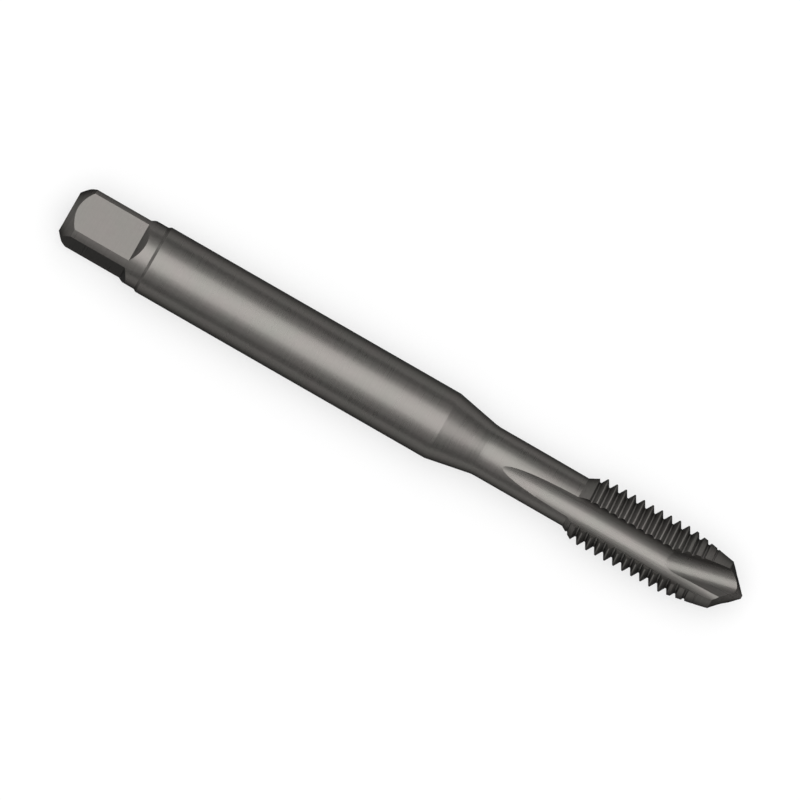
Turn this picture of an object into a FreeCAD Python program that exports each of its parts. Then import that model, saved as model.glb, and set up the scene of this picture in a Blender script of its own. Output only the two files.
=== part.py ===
import FreeCAD, Part
import Sketcher
import math
import os

# A spiral point machine tap for a fine quarter inch thread, turned and ground from one bar.
# X runs along the axis from the drive end to the tip, with its zero halfway. The tap lies on its
# shank, on the plane Z = 0. It is drawn with the drive end at X = 0, and then placed.

SIZES = (
    ("overall_length", 67.63, "drive end to tip"),
    ("shank_dia", 6.477, "ground shank"),
    ("end_face_dia", 3.84, "flat end inside the end chamfer"),
    ("end_chamfer_angle", 45, "slope of the end chamfer from the axis"),
    ("end_crown_radius", 8, "crown of the end chamfer"),
    ("centre_mouth_dia", 1.6, "centre hole in the drive end, at its mouth"),
    ("centre_angle", 60, "cone of the centre hole"),
    ("centre_pilot_dia", 0.8, "small drilled hole under that cone"),
    ("centre_depth", 1.7, "drive end to the end of the pilot's wall"),
    ("centre_drill_angle", 118, "point of the drill that made the pilot"),
    ("land_dia", 6.17, "relieved diameter round the square"),
    ("land_length", 8.19, "drive end to the step up to the shank"),
    ("land_step_angle", 30, "slope of that step from the axis"),
    ("square_sides", 4, "flats round the drive end"),
    ("square_flats", 4.9, "across the flats of the drive square"),
    ("square_length", 6.6, "length of the flats"),
    ("square_ramp_angle", 45, "slope that each flat ends in"),
    ("square_turn", 28.5, "turn of the square from the first flute"),
    ("taper_angle", 11.1, "slope from the shank down to the neck"),
    ("neck_dia", 4.8, "neck behind the thread"),
    ("neck_length", 9.09, "neck between the taper and the thread"),
    ("neck_fillet", 2.7, "hollow between taper and neck"),
    ("thread_length", 16.71, "neck end to tip"),
    ("thread_dia", 6.41, "over the thread crests"),
    ("thread_pitch", 0.9071, "28 turns to the inch"),
    ("thread_angle", 60, "between the flanks"),
    ("crest_flat", 0.113, "flat on each crest"),
    ("root_flat", 0.113, "flat in each root"),
    ("thread_lead_in", 0.74, "how far behind the thread its groove starts"),
    ("back_chamfer_angle", 30, "slope behind the thread"),
    ("lead_length", 4.4, "chamfered first threads"),
    ("nose_dia", 4.78, "where the nose cone starts"),
    ("nose_length", 2.14, "nose cone"),
    ("tip_dia", 0.3, "blunt end of the nose cone"),
    ("flute_count", 3, "flutes and lands"),
    ("flute_radius", 1.57, "hollow of each flute"),
    ("core_dia", 3.56, "between the bottoms of the flutes"),
    ("flute_length", 15.23, "full depth of the flutes, from the tip"),
    ("wheel_radius", 56.7, "arc that each flute runs out in"),
    ("point_length", 7.17, "angled point, from the tip"),
    ("point_radius", 1.27, "rounded bottom of the angled point"),
    ("point_angle", 85, "between its two walls"),
    ("point_skew", 10.8, "sideways angle of the point to the flute"),
    ("point_dip", 10.7, "angle that the point deepens at"),
    ("cutter_run", 1, "how far outside the bar each cut starts"),
    ("rest_turn", 12.9, "how far the first flute leans from straight up"),
)

# Places that several features share, as expressions on the sheet.
THREAD_START = "(Sizes.overall_length - Sizes.thread_length)"
NECK_START = f"({THREAD_START} - Sizes.neck_length)"
NOSE_START = "(Sizes.overall_length - Sizes.nose_length)"
THREAD_DEPTH = (
    "((Sizes.thread_pitch - Sizes.crest_flat - Sizes.root_flat) / 2"
    " / tan(Sizes.thread_angle / 2))"
)
GROOVE_MIDDLE = f"({THREAD_START} - Sizes.thread_lead_in)"
GROOVE_RELIEF = "(Sizes.crest_flat / 4)"
FLUTE_OFFSET = "(Sizes.core_dia / 2 + Sizes.flute_radius)"


def sheet_of_sizes(doc):
    """Write the driving sizes into the sheet, one row each."""
    sheet = doc.addObject("Spreadsheet::Sheet", "Sizes")
    for row, (alias, value, meaning) in enumerate(SIZES, start=1):
        sheet.set(f"A{row}", meaning)
        sheet.set(f"B{row}", str(value))
        sheet.setAlias(f"B{row}", alias)
    doc.recompute()
    return sheet


def origin_part(body, role):
    """Return the body's own origin plane or axis of that role."""
    return next(part for part in body.Origin.OriginFeatures if part.Role == role)


def sketch_on(body, plane, name, offset=None):
    """Start a sketch on an origin plane, moved by an expression where one is given."""
    sketch = body.newObject("Sketcher::SketchObject", name)
    sketch.AttachmentSupport = [(origin_part(body, plane), "")]
    sketch.MapMode = "FlatFace"
    if offset:
        sketch.setExpression("AttachmentOffset", offset)
    return sketch


def hold(sketch, kind, geometry, expression, name):
    """Add one dimension to the sketch and bind it to its expression."""
    value = float(sketch.evalExpression(expression))
    if kind == "Angle":
        value = math.radians(value)
    index = sketch.addConstraint(Sketcher.Constraint(kind, *geometry, value))
    sketch.renameConstraint(index, name)
    sketch.setExpression(f"Constraints.{name}", expression)


def outline(sketch, corners, crowned=None, crown_radius=None):
    """Draw a closed outline through named corners. The side after the crowned corner is an arc."""
    points = [
        FreeCAD.Vector(float(sketch.evalExpression(x)), float(sketch.evalExpression(y)), 0)
        for _, x, y in corners
    ]
    sides = []
    for (name, _, _), start, end in zip(corners, points, points[1:] + points[:1]):
        if name == crowned:
            radius = float(sketch.evalExpression(crown_radius))
            sides.append((sketch.addGeometry(crown(start, end, radius)), 2, 1))
            hold(sketch, "Radius", (sides[-1][0],), crown_radius, f"{name}_crown")
        else:
            sides.append((sketch.addGeometry(Part.LineSegment(start, end)), 1, 2))
    for (side, _, side_end), (following, its_start, _) in zip(sides, sides[1:] + sides[:1]):
        sketch.addConstraint(
            Sketcher.Constraint("Coincident", side, side_end, following, its_start)
        )
    for (side, side_start, _), (name, x, y) in zip(sides, corners):
        hold(sketch, "DistanceX", (-1, 1, side, side_start), x, f"{name}_x")
        hold(sketch, "DistanceY", (-1, 1, side, side_start), y, f"{name}_y")


def crown(start, end, radius):
    """Return the shallow arc that bulges to the left on the way from start to end."""
    chord = end - start
    away = FreeCAD.Vector(chord.y, -chord.x, 0).normalize()
    centre = (start + end) / 2 + away * math.sqrt(radius ** 2 - (chord.Length / 2) ** 2)
    angles = [math.atan2(point.y - centre.y, point.x - centre.x) for point in (end, start)]
    return Part.ArcOfCircle(Part.Circle(centre, FreeCAD.Vector(0, 0, 1), radius), *angles)


def round_hollow(sketch, height, radius):
    """Draw the circle that a hollow is ground with, at that height over the sketch's origin."""
    centre = FreeCAD.Vector(0, float(sketch.evalExpression(height)), 0)
    size = float(sketch.evalExpression(radius))
    circle = sketch.addGeometry(Part.Circle(centre, FreeCAD.Vector(0, 0, 1), size))
    sketch.addConstraint(Sketcher.Constraint("PointOnObject", circle, 3, -2))
    hold(sketch, "DistanceY", (-1, 1, circle, 3), height, "height")
    hold(sketch, "Radius", (circle,), radius, "radius")


def repeat(body, originals, count, name):
    """Repeat features evenly round the axis of the tap."""
    pattern = body.newObject("PartDesign::PolarPattern", name)
    pattern.Originals = originals
    pattern.Axis = (origin_part(body, "X_Axis"), [""])
    pattern.Angle = 360
    pattern.setExpression("Occurrences", count)
    body.Tip = pattern
    return pattern


def turned_blank(body):
    """Turn the whole bar in one profile, from the drive end to the nose cone."""
    sketch = sketch_on(body, "XY_Plane", "blank_profile")
    chamfer_end = "(Sizes.land_dia - Sizes.end_face_dia) / 2 / tan(Sizes.end_chamfer_angle)"
    step = "(Sizes.shank_dia - Sizes.land_dia) / 2 / tan(Sizes.land_step_angle)"
    taper = "(Sizes.shank_dia - Sizes.neck_dia) / 2 / tan(Sizes.taper_angle)"
    back = "(Sizes.thread_dia - Sizes.neck_dia) / 2 / tan(Sizes.back_chamfer_angle)"
    outline(sketch, (
        ("end_middle", "0", "0"),
        ("end_rim", "0", "Sizes.end_face_dia / 2"),
        ("end_chamfer", chamfer_end, "Sizes.land_dia / 2"),
        ("land_end", "Sizes.land_length", "Sizes.land_dia / 2"),
        ("shank_start", f"Sizes.land_length + {step}", "Sizes.shank_dia / 2"),
        ("shank_end", f"{NECK_START} - {taper}", "Sizes.shank_dia / 2"),
        ("neck_start", NECK_START, "Sizes.neck_dia / 2"),
        ("neck_end", THREAD_START, "Sizes.neck_dia / 2"),
        ("thread_full", f"{THREAD_START} + {back}", "Sizes.thread_dia / 2"),
        ("lead_start", f"{NOSE_START} - Sizes.lead_length", "Sizes.thread_dia / 2"),
        ("nose_rim", NOSE_START, "Sizes.nose_dia / 2"),
        ("tip_rim", "Sizes.overall_length", "Sizes.tip_dia / 2"),
        ("tip_middle", "Sizes.overall_length", "0"),
    ), "end_rim", "Sizes.end_crown_radius")
    blank = body.newObject("PartDesign::Revolution", "blank")
    blank.Profile = sketch
    blank.ReferenceAxis = (sketch, ["H_Axis"])
    blank.Angle = 360
    body.Document.recompute()

    hollow = body.newObject("PartDesign::Fillet", "neck_hollow")
    hollow.Base = (blank, [ring_edge(blank, NECK_START, "Sizes.neck_dia / 2")])
    hollow.setExpression("Radius", "Sizes.neck_fillet")
    return hollow


def ring_edge(feature, place, radius):
    """Name the turned edge at that place along the axis, of that radius."""
    place = float(feature.evalExpression(place))
    radius = float(feature.evalExpression(radius))
    for number, edge in enumerate(feature.Shape.Edges, start=1):
        curve = edge.Curve
        if not isinstance(curve, Part.Circle):
            continue
        if abs(curve.Center.x - place) < 1e-6 and abs(curve.Radius - radius) < 1e-6:
            return f"Edge{number}"
    raise RuntimeError("the blank has no ring where its neck starts")


def centre_hole(body):
    """Drill the centre that the tap is ground on into its drive end."""
    sketch = sketch_on(body, "XY_Plane", "centre_profile")
    cone = "(Sizes.centre_mouth_dia - Sizes.centre_pilot_dia) / 2 / tan(Sizes.centre_angle / 2)"
    drill = "Sizes.centre_pilot_dia / 2 / tan(Sizes.centre_drill_angle / 2)"
    outline(sketch, (
        ("mouth_middle", "0", "0"),
        ("mouth_rim", "0", "Sizes.centre_mouth_dia / 2"),
        ("cone_end", cone, "Sizes.centre_pilot_dia / 2"),
        ("pilot_end", "Sizes.centre_depth", "Sizes.centre_pilot_dia / 2"),
        ("drill_tip", f"Sizes.centre_depth + {drill}", "0"),
    ))
    centre = body.newObject("PartDesign::Groove", "centre_hole")
    centre.Profile = sketch
    centre.ReferenceAxis = (sketch, ["H_Axis"])
    centre.Angle = 360
    return centre


def drive_square(body):
    """Mill the flats round the drive end, each ending in a ramp."""
    turn = "placement(vector(0; 0; 0); rotationx(-Sizes.square_turn))"
    sketch = sketch_on(body, "XY_Plane", "flat_profile", turn)
    rise = "(Sizes.shank_dia - Sizes.square_flats / 2)"
    outline(sketch, (
        ("end", "-Sizes.cutter_run", "Sizes.square_flats / 2"),
        ("ramp_foot", "Sizes.square_length", "Sizes.square_flats / 2"),
        ("ramp_top", f"Sizes.square_length + {rise} / tan(Sizes.square_ramp_angle)", "Sizes.shank_dia"),
        ("outside", "-Sizes.cutter_run", "Sizes.shank_dia"),
    ))
    flat = body.newObject("PartDesign::Pocket", "drive_flat")
    flat.Profile = sketch
    flat.Type = "Length"
    flat.Midplane = True
    flat.setExpression("Length", "Sizes.shank_dia * 2")
    return repeat(body, [flat], "Sizes.square_sides", "drive_square")


def thread(body):
    """Cut the groove between the thread flanks along a right hand helix."""
    sketch = sketch_on(body, "XY_Plane", "thread_groove")
    root = f"Sizes.thread_dia / 2 - {THREAD_DEPTH}"
    mouth = f"Sizes.thread_dia / 2 + {GROOVE_RELIEF} / tan(Sizes.thread_angle / 2)"
    mouth_half = f"((Sizes.thread_pitch - Sizes.crest_flat) / 2 + {GROOVE_RELIEF})"
    outline(sketch, (
        ("root_back", f"{GROOVE_MIDDLE} - Sizes.root_flat / 2", root),
        ("mouth_back", f"{GROOVE_MIDDLE} - {mouth_half}", mouth),
        ("mouth_front", f"{GROOVE_MIDDLE} + {mouth_half}", mouth),
        ("root_front", f"{GROOVE_MIDDLE} + Sizes.root_flat / 2", root),
    ))
    groove = body.newObject("PartDesign::SubtractiveHelix", "thread")
    groove.Profile = sketch
    groove.ReferenceAxis = (origin_part(body, "X_Axis"), [""])
    groove.Mode = "pitch-height-angle"
    groove.setExpression("Pitch", "Sizes.thread_pitch")
    groove.setExpression(
        "Height",
        "Sizes.thread_length - Sizes.nose_length + Sizes.thread_lead_in + Sizes.thread_pitch",
    )
    groove.LeftHanded = False
    return groove


def flutes(body):
    """Grind the straight flutes, each running out in the arc of the wheel."""
    front = "placement(vector(0; 0; Sizes.overall_length + Sizes.cutter_run); rotationx(0))"
    straight_sketch = sketch_on(body, "YZ_Plane", "flute_section", front)
    round_hollow(straight_sketch, FLUTE_OFFSET, "Sizes.flute_radius")
    straight = body.newObject("PartDesign::Pocket", "flute")
    straight.Profile = straight_sketch
    straight.Type = "Length"
    straight.setExpression("Length", "Sizes.flute_length + Sizes.cutter_run")

    back = "placement(vector(0; 0; Sizes.overall_length - Sizes.flute_length); rotationx(0))"
    arc_sketch = sketch_on(body, "YZ_Plane", "flute_end_section", back)
    round_hollow(arc_sketch, FLUTE_OFFSET, "Sizes.flute_radius")
    wheel_height = f"{FLUTE_OFFSET} + Sizes.wheel_radius"
    height = float(arc_sketch.evalExpression(wheel_height))
    axle = arc_sketch.addGeometry(
        Part.LineSegment(FreeCAD.Vector(0, height, 0), FreeCAD.Vector(1, height, 0)), True
    )
    arc_sketch.addConstraint(Sketcher.Constraint("Horizontal", axle))
    arc_sketch.addConstraint(Sketcher.Constraint("PointOnObject", axle, 1, -2))
    hold(arc_sketch, "DistanceX", (axle, 1, axle, 2), "Sizes.cutter_run", "axle_length")
    hold(arc_sketch, "DistanceY", (-1, 1, axle, 1), wheel_height, "axle_height")
    run_out = body.newObject("PartDesign::Groove", "flute_run_out")
    run_out.Profile = arc_sketch
    run_out.ReferenceAxis = (arc_sketch, ["Axis0"])
    run_out.setExpression(
        "Angle", "acos(1 - (Sizes.shank_dia - Sizes.core_dia) / 2 / Sizes.wheel_radius)"
    )
    return repeat(body, [straight, run_out], "Sizes.flute_count", "flutes")


def angled_point(body):
    """Grind the front of each flute at an angle, so that the tap pushes its chips ahead."""
    bottom = "(Sizes.core_dia / 2 + Sizes.point_radius)"
    place = (
        f"placement(vector(0; {bottom}; Sizes.overall_length - Sizes.point_length);"
        " rotationy(Sizes.point_skew) * rotationx(Sizes.point_dip))"
    )
    sketch = sketch_on(body, "YZ_Plane", "point_section", place)
    rounded_groove(sketch, "Sizes.point_radius", "Sizes.point_angle", "Sizes.shank_dia")
    hollow = body.newObject("PartDesign::Pocket", "point_hollow")
    hollow.Profile = sketch
    hollow.Type = "Length"
    hollow.Reversed = True
    hollow.setExpression("Length", "Sizes.point_length + Sizes.shank_dia")
    return repeat(body, [hollow], "Sizes.flute_count", "angled_point")


def rounded_groove(sketch, radius, angle, height):
    """Draw a groove with a round bottom, two walls tangent to it and a lid over the tap."""
    size = float(sketch.evalExpression(radius))
    half = math.radians(float(sketch.evalExpression(angle)) / 2)
    top = float(sketch.evalExpression(height))
    foot = FreeCAD.Vector(size * math.cos(half), -size * math.sin(half), 0)
    head = FreeCAD.Vector(foot.x + (top - foot.y) * math.tan(half), top, 0)
    left_foot = FreeCAD.Vector(-foot.x, foot.y, 0)
    left_head = FreeCAD.Vector(-head.x, head.y, 0)
    circle = Part.Circle(FreeCAD.Vector(0, 0, 0), FreeCAD.Vector(0, 0, 1), size)

    bottom = sketch.addGeometry(Part.ArcOfCircle(circle, math.pi + half, 2 * math.pi - half))
    right = sketch.addGeometry(Part.LineSegment(foot, head))
    lid = sketch.addGeometry(Part.LineSegment(head, left_head))
    left = sketch.addGeometry(Part.LineSegment(left_head, left_foot))
    sketch.addConstraint(Sketcher.Constraint("Coincident", bottom, 3, -1, 1))
    sketch.addConstraint(Sketcher.Constraint("Tangent", bottom, 2, right, 1))
    sketch.addConstraint(Sketcher.Constraint("Coincident", right, 2, lid, 1))
    sketch.addConstraint(Sketcher.Constraint("Coincident", lid, 2, left, 1))
    sketch.addConstraint(Sketcher.Constraint("Tangent", left, 2, bottom, 1))
    sketch.addConstraint(Sketcher.Constraint("Symmetric", lid, 1, lid, 2, -2))
    hold(sketch, "Radius", (bottom,), radius, "radius")
    hold(sketch, "DistanceY", (-1, 1, lid, 1), height, "height")
    hold(sketch, "Angle", (right, 1, left, 2), angle, "angle")


def check(doc, body):
    """Stop if any object failed, or if the tap isn't one valid solid."""
    for item in doc.Objects:
        if "Invalid" in item.State or "Error" in item.State:
            raise RuntimeError(f"{item.Name} failed")
    if body.Shape.isNull() or not body.Shape.isValid():
        raise RuntimeError("the tap has no valid shape")
    if len(body.Shape.Solids) != 1:
        raise RuntimeError("the tap isn't one solid")


doc = FreeCAD.newDocument("thread_tap")
sheet_of_sizes(doc)
tap = doc.addObject("PartDesign::Body", "tap")
tap.Label = "tap"

turned_blank(tap)
centre_hole(tap)
drive_square(tap)
flutes(tap)
angled_point(tap)
thread(tap)

resting_height = "max(Sizes.shank_dia; Sizes.thread_dia) / 2"
tap.setExpression(
    "Placement",
    f"placement(vector(-Sizes.overall_length / 2; 0; {resting_height}); rotationx(Sizes.rest_turn))",
)
doc.recompute()
check(doc, tap)

os.makedirs("parts", exist_ok=True)
tap.Shape.exportStep("parts/tap.step")
print("volume", round(tap.Shape.Volume, 3), "mm3")
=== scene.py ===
"""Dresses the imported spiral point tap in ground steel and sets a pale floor, soft lamps and the camera."""

import math

import bpy
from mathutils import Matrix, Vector


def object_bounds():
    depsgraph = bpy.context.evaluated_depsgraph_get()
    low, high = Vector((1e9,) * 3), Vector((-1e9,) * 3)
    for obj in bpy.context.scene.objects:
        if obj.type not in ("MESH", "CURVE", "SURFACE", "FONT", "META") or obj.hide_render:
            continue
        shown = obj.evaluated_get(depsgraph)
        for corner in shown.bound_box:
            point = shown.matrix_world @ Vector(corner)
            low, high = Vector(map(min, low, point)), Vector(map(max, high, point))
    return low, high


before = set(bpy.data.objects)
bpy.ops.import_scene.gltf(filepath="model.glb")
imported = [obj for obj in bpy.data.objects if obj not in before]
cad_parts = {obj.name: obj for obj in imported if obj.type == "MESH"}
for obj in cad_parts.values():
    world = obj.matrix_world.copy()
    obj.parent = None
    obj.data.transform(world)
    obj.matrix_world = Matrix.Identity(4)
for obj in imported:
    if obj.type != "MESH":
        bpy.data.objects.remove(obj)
CAD_LOW, CAD_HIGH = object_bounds()

bl_info = {
    "name": "Spiral point tap",
    "version": (1, 0, 0),
    "blender": (4, 5, 0),
    "location": "3D View > Sidebar > Tap",
    "description": "Dresses a spiral point machine tap and sets its stage",
    "category": "Object",
}

WHITE = (1.0, 1.0, 1.0, 1.0)
AXIS = Vector((0, 0, CAD_HIGH.z / 2))
CAMERA_HEIGHT = 0.2

# Numbers of the Mix node's sockets, which share their names: one set for numbers and one for colours
MIX_SHARE = 0
MIX_NUMBERS = (2, 3)
MIX_COLOURS = (6, 7)
MIX_COLOUR_OUT = 2

# Patterns in the steel: waves per metre along x, y and z, and how many octaves
PATTERNS = {
    "round_marks": ((8000, 240, 240), 4),
    "flute_marks": ((150, 7000, 7000), 4),
    "square_marks": ((6000, 160, 160), 4),
    "cloud": ((90, 260, 260), 3),
    "grain": ((2600, 2600, 2600), 2),
    "heat": ((420, 520, 520), 2),
}

# Where faces look: FACES_OUT is 1 for straight away from the axis, and the others are 1 for straight along it
FACES_OUT = 0.85
FLUTE_WALL = 0.35
SQUARE_FLAT = 0.1
STRAIGHT_WALL = 0.06
# CHAMFERED and POINTED pick the chamfers and the nose, which get painted shade
CHAMFERED = 0.42
POINTED = 0.5
FLANKS = 0.65

# Lengths over which the finish of the flutes, and the darker tone of their stretch beside the point, fade in
FLUTE_BLEND = 0.00008
POINT_BLEND = 0.0018

# What each pattern and place adds to the brightness of the steel, and to its roughness
SHADES = {
    "cloud": 0.17, "grain": 0.06, "marks": 0.25,
    "square": -0.02, "flute": 0.04, "beside_point": -0.20,
    # Darker chamfers, nose and cone behind the thread: painted shade on faces that slope along the axis;
    # run_out also darkens the lead lands
    "thread": -0.10, "run_out": -0.24, "chamfer": -0.26, "nose": -0.28,
}
ROUGHNESSES = {"cloud": 0.12, "marks": 0.16, "flute": -0.02, "thread": 0.08}
GRAIN_RELIEF = 0.5

# The dark film absorbs light and hardly mirrors any
FILM_IOR = 1.02
FILM_ROUGHNESS = 0.4

# Lamps: name, degrees from overhead towards the tap's point, half width in degrees along and across, radiance
LAMPS = (
    ("lamp_core", 0, 14, 14, 0.22),
    ("lamp_middle", 0, 28, 32, 1.42),
    ("lamp_wide", 0, 30, 45, 0.74),
    ("lamp_rim", 0, 42, 68, 0.44),
    ("lamp_square_end", -72, 11, 40, 1.8),
    ("lamp_point_end", 72, 11, 40, 1.8),
)
# Each hangs this much further off than the one before, because two at one distance would hide each other
LAMP_GAP = 0.03


class TapSteel(bpy.types.PropertyGroup):
    """Colours and finish of the tool steel."""

    colour: bpy.props.FloatVectorProperty(
        name="Steel", description="Colour of the ground steel", subtype="COLOR", size=3, min=0, max=1,
        default=(0.336, 0.306, 0.294),
    )
    heat_colour: bpy.props.FloatVectorProperty(
        name="Heat tint", description="Colour where the steel keeps a faint heat tint", subtype="COLOR",
        size=3, min=0, max=1, default=(0.314, 0.314, 0.288),
    )
    edge_colour: bpy.props.FloatVectorProperty(
        name="Steel at a glance", description="Colour of the steel seen at a shallow angle", subtype="COLOR",
        size=3, min=0, max=1, default=(0.35, 0.35, 0.35),
    )
    film: bpy.props.FloatVectorProperty(
        name="Dark film", description="Light that the thin dark oxide film lets through", subtype="COLOR",
        size=3, min=0, max=1, default=(0.47, 0.47, 0.47),
    )
    least_shade: bpy.props.FloatProperty(
        name="Least brightness", description="Brightness of the steel before its patterns are added",
        subtype="FACTOR", default=0.76, min=0, max=1,
    )
    least_roughness: bpy.props.FloatProperty(
        name="Least roughness", description="Roughness of the steel before its patterns are added",
        subtype="FACTOR", default=0.16, min=0, max=1,
    )
    bare_share: bpy.props.FloatProperty(
        name="Bare metal", description="Share of bare metal, the rest being dull oxide", subtype="FACTOR",
        default=0.87, min=0, max=1,
    )
    flute_bare_share: bpy.props.FloatProperty(
        name="Bare metal in the flutes", description="Share of bare metal in the flutes", subtype="FACTOR",
        default=0.76, min=0, max=1,
    )
    thread_bare_share: bpy.props.FloatProperty(
        name="Bare metal on the thread", description="Share of bare metal on the thread", subtype="FACTOR",
        default=0.2, min=0, max=1,
    )
    mark_depth: bpy.props.FloatProperty(
        name="Grinding marks", description="Depth of the grinding marks", subtype="DISTANCE", unit="LENGTH",
        default=0.000006, min=0, precision=6,
    )
    square_end: bpy.props.FloatProperty(
        name="Square end", description="Where the drive square ends, along the axis", subtype="DISTANCE",
        unit="LENGTH", default=CAD_LOW.x + 0.0066,
    )
    corner_radius: bpy.props.FloatProperty(
        name="Corner radius", description="Radius at the corners of the drive square", subtype="DISTANCE",
        unit="LENGTH", default=0.00307,
    )
    thread_start: bpy.props.FloatProperty(
        name="Thread start", description="Where the threaded part starts, along the axis", subtype="DISTANCE",
        unit="LENGTH", default=CAD_HIGH.x - 0.0167,
    )
    shoulder_end: bpy.props.FloatProperty(
        name="Shoulder end", description="Where the cone behind the thread ends, along the axis",
        subtype="DISTANCE", unit="LENGTH", default=CAD_HIGH.x - 0.0154,
    )
    lead_start: bpy.props.FloatProperty(
        name="Lead start", description="Where the thread starts to run out towards the nose, along the axis",
        subtype="DISTANCE", unit="LENGTH", default=CAD_HIGH.x - 0.0065,
    )
    point_start: bpy.props.FloatProperty(
        name="Point start", description="Where the angled point grooves start, along the axis",
        subtype="DISTANCE", unit="LENGTH", default=CAD_HIGH.x - 0.0075,
    )
    nose_start: bpy.props.FloatProperty(
        name="Nose start", description="Where the conical nose starts, along the axis", subtype="DISTANCE",
        unit="LENGTH", default=CAD_HIGH.x - 0.0022,
    )
    flute_reach: bpy.props.FloatProperty(
        name="Flute depth", description="Radius below which every face belongs to a flute",
        subtype="DISTANCE", unit="LENGTH", default=0.00238,
    )


class TapStage(bpy.types.PropertyGroup):
    """Floor, lamps and camera."""

    floor_colour: bpy.props.FloatVectorProperty(
        name="Floor", description="Colour of the floor", subtype="COLOR", size=3, min=0, max=1,
        default=(0.84, 0.84, 0.84),
    )
    floor_size: bpy.props.FloatProperty(
        name="Floor size", description="Side of the square floor", subtype="DISTANCE", unit="LENGTH",
        default=4.0,
    )
    glow: bpy.props.FloatProperty(
        name="Floor glow", description="Share of the floor that shows pure white", subtype="FACTOR",
        default=0.6, min=0, max=1,
    )
    room_level: bpy.props.FloatProperty(
        name="Room light", description="Strength of the light from all round", default=0.28, min=0,
    )
    lamp_distance: bpy.props.FloatProperty(
        name="Lamp distance", description="Distance of the nearest lamp from the floor's middle",
        subtype="DISTANCE", unit="LENGTH", default=0.5,
    )
    lamp_shift: bpy.props.FloatProperty(
        name="Lamp shift", description="Shift of the lamps to the side of the tap that is up in the picture",
        subtype="DISTANCE", unit="LENGTH", default=0.05,
    )
    lamp_level: bpy.props.FloatProperty(
        name="Lamp level", description="Level of all lamps together", default=1.0, min=0,
    )
    roll: bpy.props.FloatProperty(
        name="Camera roll", description="Turn of the camera from the axis of the tap", subtype="ANGLE",
        unit="ROTATION", default=math.radians(29.87),
    )
    view_width: bpy.props.FloatProperty(
        name="View width", description="Width that the camera takes in", subtype="DISTANCE", unit="LENGTH",
        default=0.069832,
    )
    aim: bpy.props.FloatVectorProperty(
        name="Aim", description="Point on the floor under the middle of the picture", subtype="XYZ", size=2,
        unit="LENGTH", default=(-0.000618, 0.0000925),
    )


class Wire:
    """An output of a shader node. Python's operators on it add Math nodes."""

    def __init__(self, shader, socket):
        self.shader = shader
        self.socket = socket

    def __getitem__(self, name):
        """Return another output of the same node."""
        return Wire(self.shader, self.socket.node.outputs[name])

    def __add__(self, other):
        return self.shader.math("ADD", self, other)

    def __sub__(self, other):
        return self.shader.math("SUBTRACT", self, other)

    def __rsub__(self, other):
        return self.shader.math("SUBTRACT", other, self)

    def __mul__(self, other):
        return self.shader.math("MULTIPLY", self, other)

    def __gt__(self, other):
        return self.shader.math("GREATER_THAN", self, other)

    def __lt__(self, other):
        return self.shader.math("LESS_THAN", self, other)

    __radd__ = __add__
    __rmul__ = __mul__


class Shader:
    """The node tree of a material or world, built up with add()."""

    def __init__(self, owner):
        owner.use_nodes = True
        self.tree = owner.node_tree
        self.tree.nodes.clear()

    def add(self, kind, settings=None, values=None, output=0):
        """Add a node: its settings, then the values or links of its sockets. Return one output as a wire."""
        node = self.tree.nodes.new(kind)
        for key, setting in (settings or {}).items():
            setattr(node, key, setting)
        for key, value in (values or {}).items():
            if isinstance(value, Wire):
                self.tree.links.new(value.socket, node.inputs[key])
            else:
                node.inputs[key].default_value = value
        return Wire(self, node.outputs[output]) if node.outputs else None

    def math(self, operation, *values):
        """Add a Math node on numbers and wires."""
        return self.add("ShaderNodeMath", {"operation": operation}, dict(enumerate(values)))

    def fade(self, distance, width):
        """Return 0 below distance 0, 1 past the width, and a straight rise between."""
        return self.math("MINIMUM", self.math("MAXIMUM", distance * (1 / width), 0), 1)

    def vector(self, operation, *values):
        """Add a Vector Math node and return its vector, or its number where it gives one."""
        output = "Value" if operation in ("LENGTH", "DOT_PRODUCT") else "Vector"
        return self.add("ShaderNodeVectorMath", {"operation": operation}, dict(enumerate(values)), output)

    def part(self, vector, axis):
        """Return one coordinate of a vector."""
        return self.add("ShaderNodeSeparateXYZ", values={"Vector": vector}, output=axis)

    def grey(self, number):
        """Return the grey of that level as a colour."""
        return self.add("ShaderNodeCombineColor", values={"Red": number, "Green": number, "Blue": number})

    def noise(self, spot, waves, octaves):
        """Return noise from 0 to 1 with so many waves a metre along each axis."""
        return self.add("ShaderNodeTexNoise", values={
            "Vector": self.vector("MULTIPLY", spot, waves),
            "Scale": 1.0,
            "Detail": octaves - 1,
        })

    def mix(self, kind, share, first, second):
        """Mix two colours, with that share of the second one."""
        values = dict(zip((MIX_SHARE, *MIX_COLOURS), (share, first, second)))
        return self.add("ShaderNodeMix", {"data_type": "RGBA", "blend_type": kind}, values, MIX_COLOUR_OUT)

    def blend(self, mask, plain, other):
        """Return the plain number, and the other one where the mask is 1."""
        values = dict(zip((MIX_SHARE, *MIX_NUMBERS), (mask, plain, other)))
        return self.add("ShaderNodeMix", {"data_type": "FLOAT"}, values)

    def mix_shaders(self, share, first, second):
        """Mix two shaders, with that share of the second one."""
        return self.add("ShaderNodeMixShader", values=dict(enumerate((share, first, second))))


def opaque(colour):
    """Return a colour with full alpha."""
    return (*colour, 1.0)


def layered(least, shares, layers):
    """Add the named layers to the least value, each times its share."""
    total = least
    for name, share in shares.items():
        total = total + share * layers[name]
    return total


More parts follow.
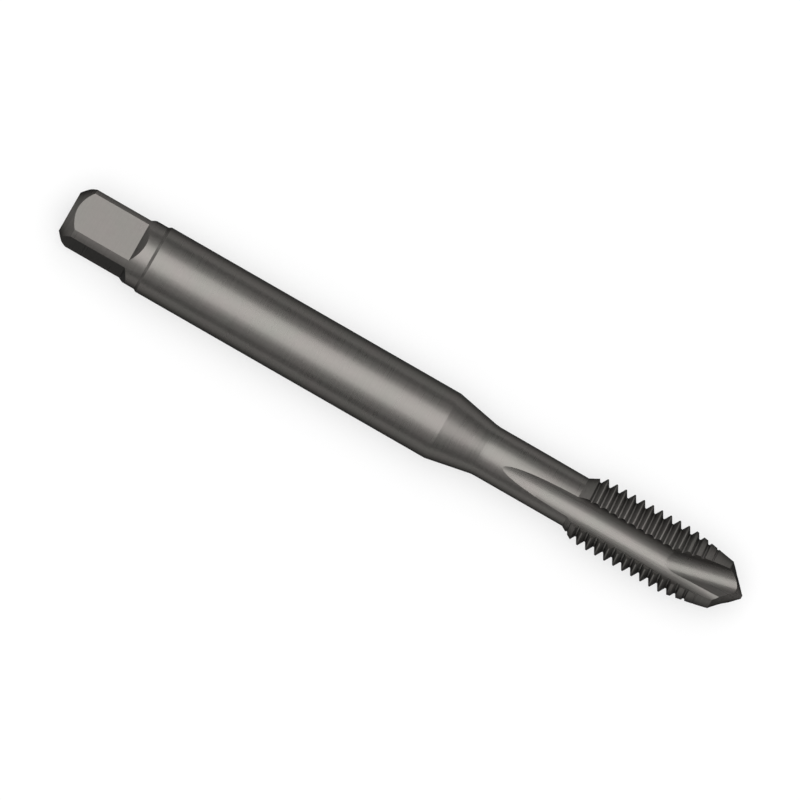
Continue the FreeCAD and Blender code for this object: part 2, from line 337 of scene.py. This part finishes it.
def find_places(shader, spot, settings):
    """Return a mask of each place with its own finish, tone or painted shade."""
    along = shader.part(spot, "X")
    across = shader.vector("MULTIPLY", spot, (0, 1, 1))
    radius = shader.vector("LENGTH", across)
    normal = shader.add("ShaderNodeNewGeometry", output="Normal")
    outward = shader.vector("DOT_PRODUCT", normal, shader.vector("NORMALIZE", across))
    lengthwise = shader.math("ABSOLUTE", shader.part(normal, "X"))

    on_square = (along < settings.square_end) * (radius < settings.corner_radius)
    deep = shader.fade(settings.flute_reach - radius, FLUTE_BLEND)
    hollow = (1 - (outward > FACES_OUT)) * (lengthwise < FLUTE_WALL)
    flute = (along > 0) * shader.math("MAXIMUM", deep, hollow)
    towards_point = shader.fade(along - settings.point_start, POINT_BLEND)
    thread = (along > settings.thread_start) * (1 - flute)
    ends = (along > settings.lead_start) + (along < settings.shoulder_end)
    return {
        "square": on_square * (lengthwise < SQUARE_FLAT),
        "flute": flute,
        # The flute beside the point is made darker
        "beside_point": flute * (lengthwise < STRAIGHT_WALL) * towards_point,
        "thread": thread,
        # Thread ends: painted shade on the cone behind the thread, and darker lands at the lead
        "run_out": thread * ends * (lengthwise < FLANKS),
        # Chamfers and the nose, which slope along the axis: painted shade
        "chamfer": (lengthwise > CHAMFERED) * (1 - thread),
        "nose": (lengthwise > POINTED) * (along > settings.nose_start),
    }


def ground_steel(settings):
    """Make the steel: ground round the axis, lengthwise in the flutes, duller on the thread; chamfers and
    nose get painted shade.
    """
    material = bpy.data.materials.new("ground_steel")
    shader = Shader(material)
    spot = shader.vector("SUBTRACT", shader.add("ShaderNodeTexCoord", output="Object"), AXIS)
    layers = find_places(shader, spot, settings)
    layers.update({name: shader.noise(spot, *waves) for name, waves in PATTERNS.items()})
    round_or_square = shader.blend(layers["square"], layers["round_marks"], layers["square_marks"])
    layers["marks"] = shader.blend(layers["flute"], round_or_square, layers["flute_marks"])

    shade = shader.grey(layered(settings.least_shade, SHADES, layers))
    steel_colour = shader.mix("MIX", layers["heat"], opaque(settings.colour), opaque(settings.heat_colour))
    bare = shader.blend(layers["flute"], settings.bare_share, settings.flute_bare_share)
    relief = shader.add("ShaderNodeBump", values={
        "Strength": 1.0,
        "Distance": settings.mark_depth,
        "Height": layers["marks"] + GRAIN_RELIEF * layers["grain"],
    })
    steel = shader.add("ShaderNodeBsdfPrincipled", values={
        "Base Color": shader.mix("MULTIPLY", 1.0, steel_colour, shade),
        "Metallic": shader.blend(layers["thread"], bare, settings.thread_bare_share),
        "Roughness": layered(settings.least_roughness, ROUGHNESSES, layers),
        "Specular IOR Level": 0.0,
        "Specular Tint": opaque(settings.edge_colour),
        "Coat Weight": 1.0,
        "Coat Roughness": FILM_ROUGHNESS,
        "Coat IOR": FILM_IOR,
        "Coat Tint": opaque(settings.film),
        "Normal": relief,
    })
    shader.add("ShaderNodeOutputMaterial", values={"Surface": steel})
    return material


def seen_directly(shader):
    """Return 1 for rays from the camera, mirrored rays and rays through glass, and 0 for the light itself."""
    path = shader.add("ShaderNodeLightPath")
    seen = path["Is Camera Ray"] + path["Is Glossy Ray"] + path["Is Transmission Ray"]
    return shader.math("MINIMUM", seen, 1)


def floor_paint(settings):
    """Make the plain pale floor, which shows partly as pure white."""
    material = bpy.data.materials.new("pale_floor")
    shader = Shader(material)
    paint = shader.add("ShaderNodeBsdfDiffuse", values={"Color": opaque(settings.floor_colour)})
    white = shader.add("ShaderNodeEmission", values={"Color": WHITE, "Strength": 1.0})
    surface = shader.mix_shaders(settings.glow * seen_directly(shader), paint, white)
    shader.add("ShaderNodeOutputMaterial", values={"Surface": surface})
    return material


def room_light(settings):
    """Make the room: soft light from all round, and white below the floor for views that dip under it."""
    world = bpy.data.worlds.new("room")
    shader = Shader(world)
    direction = shader.add("ShaderNodeTexCoord", output="Generated")
    below = (shader.part(direction, "Z") < 0) * seen_directly(shader)
    soft = shader.add("ShaderNodeBackground", values={"Color": WHITE, "Strength": settings.room_level})
    white = shader.add("ShaderNodeBackground", values={"Color": WHITE, "Strength": 1.0})
    shader.add("ShaderNodeOutputWorld", values={"Surface": shader.mix_shaders(below, soft, white)})
    return world


def place(thing):
    """Link a new object to the scene."""
    bpy.context.scene.collection.objects.link(thing)
    return thing


def hang_lamp(settings, distance, name, swing, along, across, radiance):
    """Hang an oval lamp at that distance, swung from overhead, that spans so many degrees each way."""
    lamp = bpy.data.lights.new(name, "AREA")
    lamp.shape = "ELLIPSE"
    lamp.size = 2 * distance * math.tan(math.radians(along))
    lamp.size_y = 2 * distance * math.tan(math.radians(across))
    area = math.pi * lamp.size * lamp.size_y / 4
    lamp.energy = settings.lamp_level * radiance * math.pi * area
    holder = place(bpy.data.objects.new(name, lamp))
    angle = math.radians(swing)
    holder.location = (distance * math.sin(angle), settings.lamp_shift, distance * math.cos(angle))
    holder.rotation_euler = (0, angle, 0)
    holder.visible_camera = False


def lay_floor(settings):
    """Lay the square floor under the tap."""
    half = settings.floor_size / 2
    corners = [(-half, -half, 0), (half, -half, 0), (half, half, 0), (-half, half, 0)]
    mesh = bpy.data.meshes.new("floor")
    mesh.from_pydata(corners, [], [(0, 1, 2, 3)])
    mesh.materials.append(floor_paint(settings))
    place(bpy.data.objects.new("floor", mesh))


def set_camera(settings):
    """Set the camera straight over the tap, turned as in the photograph."""
    lens = bpy.data.cameras.new("camera")
    lens.type = "ORTHO"
    lens.ortho_scale = settings.view_width
    camera = place(bpy.data.objects.new("camera", lens))
    camera.location = (*settings.aim, CAMERA_HEIGHT)
    camera.rotation_euler = (0, 0, settings.roll)
    bpy.context.scene.camera = camera


class TAP_OT_steel(bpy.types.Operator):
    """Give the tap its ground steel"""

    bl_idname = "tap.steel"
    bl_label = "Ground steel"

    def execute(self, context):
        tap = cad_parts["tap"]
        if not tap.material_slots:
            raise RuntimeError("the tap has no material slot")
        steel = ground_steel(context.scene.tap_steel)
        for slot in tap.material_slots:
            slot.material = steel
        return {"FINISHED"}


class TAP_OT_stage(bpy.types.Operator):
    """Set the floor, the lamps and the camera"""

    bl_idname = "tap.stage"
    bl_label = "Stage"

    def execute(self, context):
        settings = context.scene.tap_stage
        lay_floor(settings)
        for number, lamp in enumerate(LAMPS):
            hang_lamp(settings, settings.lamp_distance + number * LAMP_GAP, *lamp)
        context.scene.world = room_light(settings)
        set_camera(settings)
        context.scene.view_settings.view_transform = "Standard"
        return {"FINISHED"}


class TAP_PT_panel(bpy.types.Panel):
    """Steps that dress the tap"""

    bl_idname = "TAP_PT_panel"
    bl_label = "Spiral point tap"
    bl_space_type = "VIEW_3D"
    bl_region_type = "UI"
    bl_category = "Tap"

    def draw(self, context):
        for step in (TAP_OT_steel, TAP_OT_stage):
            self.layout.operator(step.bl_idname)


CLASSES = (TapSteel, TapStage, TAP_OT_steel, TAP_OT_stage, TAP_PT_panel)


def register():
    for item in CLASSES:
        bpy.utils.register_class(item)
    bpy.types.Scene.tap_steel = bpy.props.PointerProperty(type=TapSteel)
    bpy.types.Scene.tap_stage = bpy.props.PointerProperty(type=TapStage)


def unregister():
    del bpy.types.Scene.tap_stage
    del bpy.types.Scene.tap_steel
    for item in reversed(CLASSES):
        bpy.utils.unregister_class(item)


def main():
    register()
    bpy.ops.tap.steel()
    bpy.ops.tap.stage()


if __name__ == "__main__":
    main()
